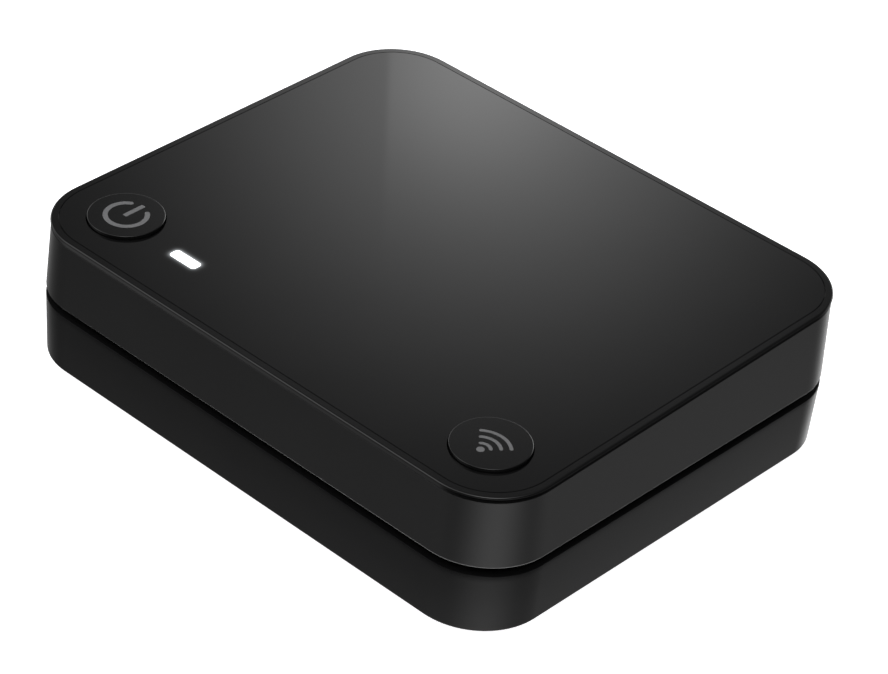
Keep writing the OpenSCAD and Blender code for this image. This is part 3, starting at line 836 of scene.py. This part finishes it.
def power_inlet():
    """The power inlet's folded shell, with the two lower corners cut off."""
    low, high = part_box("usb_shell")
    middle, half = (low.x + high.x) / 2, (high.x - low.x) / 2
    wall = 0.3 * MM
    corner = 0.9 * MM
    skin = Skin()

    def section(shrink, y):
        h = half - shrink
        z0, z1 = low.z + shrink, high.z - shrink
        shape = [(-h + corner, z0), (h - corner, z0), (h, z0 + corner), (h, z1), (-h, z1), (-h, z0 + corner)]
        return skin.loop([Vector((middle + x, y, z)) for x, z in shape])

    loops = [section(wall, low.y + wall), section(wall, high.y), section(0, high.y), section(0, low.y)]
    skin.walls(loops)
    skin.sheet(loops[0])
    skin.sheet(loops[-1])
    piece(skin.finish("power_inlet", NICKEL, 25), "case", "usb_shell")


# ---------------------------------------------------------------- underside
def rubber_feet():
    """Four feet with a rounded sole edge and a shallow dimple."""
    soft = 0.3 * MM
    dimple, dimple_r = 0.1 * MM, 3 * MM
    sole_r = 3.2 * MM                    # inner radius of the ring that stands on the surface
    top = 1.6 * MM
    profile = [(0, dimple), (dimple_r, dimple), (sole_r, 0)]
    profile += arc((FOOT_R - soft, soft), soft, -90, 0, 5)
    profile += [(FOOT_R, top), (0, top)]
    parts = [lathe("foot", profile, Matrix.Translation((x, MID_Y + y, 0)), RUBBER, 72) for x, y in FEET]
    piece(join("rubber_feet", parts), "case", "feet")


upper_shell()
lower_shell()
top_rim()
top_plate()
button("power_cap", "power_button", -1, "power_button")
button("pairing_cap", "pairing_button", 1, "pairing_button")
power_legend()
pairing_legend()
window()
rear_plate()
phono_sleeves()
phono_cores()
phono_pins()
phono_collar("collar_left", PHONO_X[0], WHITE_RING, "phono_ring_left")
phono_collar("collar_right", PHONO_X[1], RED_RING, "phono_ring_right")
jack()
power_inlet()
rubber_feet()

# CAD nodes that stay, each with the finish of its slot
KEPT = {
    "power_plunger": SWITCH, "pairing_plunger": SWITCH, "switch_bodies": SWITCH,
    "status_led": LED_BODY, "key_board": GREEN, "key_board_screws": ZINC,
    "ribbon_connectors": CREAM, "ribbon_cable": RIBBON, "main_board": GREEN,
    "main_board_screws": ZINC, "radio_board": BLUE, "radio_shield": TIN,
    "radio_antenna": GOLD, "converter_chip": CHIP, "amplifier_chip": CHIP,
    "regulator": CHIP, "crystal": TIN, "capacitors": SLEEVE, "chip_parts": CERAMIC,
    "phono_housing": SOCKET, "usb_tongue": SOCKET, "case_screws": ZINC, "rating_label": LABEL,
}
for node_name, finish in KEPT.items():
    node = frame["nodes"][node_name]
    node.data.materials.clear()
    node.data.materials.append(finish)
    for polygon in node.data.polygons:
        polygon.material_index = 0


# ---------------------------------------------------------------- stage, light and camera
def floor():
    """A pale floor that glows evenly, so that it stays plain and adds no reflection."""
    bm = bmesh.new()
    bmesh.ops.create_grid(bm, x_segments=1, y_segments=1, size=6.0)
    mesh = bpy.data.meshes.new("floor")
    bm.to_mesh(mesh)
    bm.free()
    obj = bpy.data.objects.new("floor", mesh)
    bpy.context.scene.collection.objects.link(obj)
    material, tree, shader = new_material("pale_floor")
    tree.links.new(tint(tree, noise(tree, 3), *grey(0.86, 0.88)), shader.inputs["Base Color"])
    shader.inputs["Roughness"].default_value = 0.9
    shader.inputs["Emission Color"].default_value = WHITE
    shader.inputs["Emission Strength"].default_value = 0.93
    obj.data.materials.append(material)
    obj.visible_glossy = False
    obj.visible_diffuse = False


ROOM = 0.03                              # strength of the room between the glows
# (azimuth, elevation, sharpness, strength), then the sines of the elevations between which the glow
# goes from nothing to its full strength, if it is cut off in height
GLOWS = (
    ((0, 90, 0, 0.03), (0.3, 0.5)),
    ((-40.7, 32.1, 300, 1.5), None),
    ((-138, 8, 28, 0.85), None),
    ((-105, 15, 9, 0.5), None),
    ((-137, 44, 14, 2.0), None),
    ((141, 52, 12, 3.7), (0.5, 0.75)),
    ((95, 62.7, 3.6, 0.2), (0.4, 0.65)),
    ((125, 5, 4.5, 3.6), (-0.4, -0.515)),
    ((-152, -26, 12, 0.3), (-0.4, -0.515)),
    ((48.5, -21, 17, 0.42), (-0.4, -0.515)),
    ((-35, -10, 4, 0.7), (0.45, 0.25)),
    ((-8, 12, 14, 3.6), (0.5, 0.3)),
    ((-75, 10, 14, 1.2), (0.5, 0.3)),
    ((0, -90, 0, 3.0), (-0.76, -0.86)),
    ((-10, -50, 30, 2.0), (-0.4, -0.515)),
)
SCREEN = (-41.3, 32.3, 1790, 0.74)
SCREEN_EDGE = -43.1                      # azimuth of the screen's left edge
EDGE_BLUR = 0.0012


def studio():
    """A dim room with soft glows, set by direction from the object. Azimuth 0 is behind it, along +Y,
    and 90 is to its right. One glow is a screen's, cut off by the screen's upright left edge."""
    world = bpy.data.worlds.new("studio")
    bpy.context.scene.world = world
    world.use_nodes = True
    tree = world.node_tree
    where = tree.nodes.new("ShaderNodeTexCoord").outputs["Generated"]

    def along(direction):
        return calculate_vector(tree, "DOT_PRODUCT", where, direction)

    def glow(azimuth, elevation, sharpness, strength):
        a, e = math.radians(azimuth), math.radians(elevation)
        value = along((math.sin(a) * math.cos(e), math.cos(a) * math.cos(e), math.sin(e)))
        value = calculate(tree, "MULTIPLY", calculate(tree, "SUBTRACT", value, 1.0), sharpness)
        return calculate(tree, "MULTIPLY", calculate(tree, "EXPONENT", value), strength)

    side = math.radians(SCREEN_EDGE)
    lit = ramp(tree, along((math.cos(side), -math.sin(side), 0)), -EDGE_BLUR, EDGE_BLUR)
    total = calculate(tree, "ADD", calculate(tree, "MULTIPLY", glow(*SCREEN), lit), ROOM)
    height = along((0, 0, 1))
    for numbers, limits in GLOWS:
        value = glow(*numbers)
        if limits:
            value = calculate(tree, "MULTIPLY", value, ramp(tree, height, *limits))
        total = calculate(tree, "ADD", total, value)
    seen = tree.nodes.new("ShaderNodeLightPath")
    backdrop = tree.nodes.new("ShaderNodeMix")
    backdrop.data_type = "FLOAT"
    tree.links.new(seen.outputs["Is Camera Ray"], backdrop.inputs["Factor"])
    tree.links.new(total, backdrop.inputs["A"])
    backdrop.inputs["B"].default_value = 1.0
    background = tree.nodes["Background"]
    tree.links.new(backdrop.outputs["Result"], background.inputs["Strength"])
    background.inputs["Color"].default_value = WHITE


def camera():
    """Above the front right corner, looking down on the top."""
    azimuth, elevation = math.radians(39.775), math.radians(34.411)
    roll = math.radians(6.091)
    distance = 482.2 * MM
    pan, rise = 2.67 * MM, 7.26 * MM
    back = Vector((
        math.sin(azimuth) * math.cos(elevation),
        -math.cos(azimuth) * math.cos(elevation),
        math.sin(elevation),
    ))
    right = Vector((math.cos(azimuth), math.sin(azimuth), 0))
    up = back.cross(right)
    side = math.cos(roll) * right + math.sin(roll) * up
    head = math.cos(roll) * up - math.sin(roll) * right
    aim = Vector((0, MID_Y, CASE_Z))
    data = bpy.data.cameras.new("camera")
    data.sensor_width = 36
    data.lens = 124.45
    data.clip_start = 0.01
    obj = bpy.data.objects.new("camera", data)
    bpy.context.scene.collection.objects.link(obj)
    spot = aim + distance * back + pan * side + rise * head
    obj.matrix_world = Matrix.Translation(spot) @ Matrix((side, head, back)).transposed().to_4x4()
    bpy.context.scene.camera = obj


floor()
studio()
camera()
bpy.context.scene.view_settings.view_transform = "Standard"
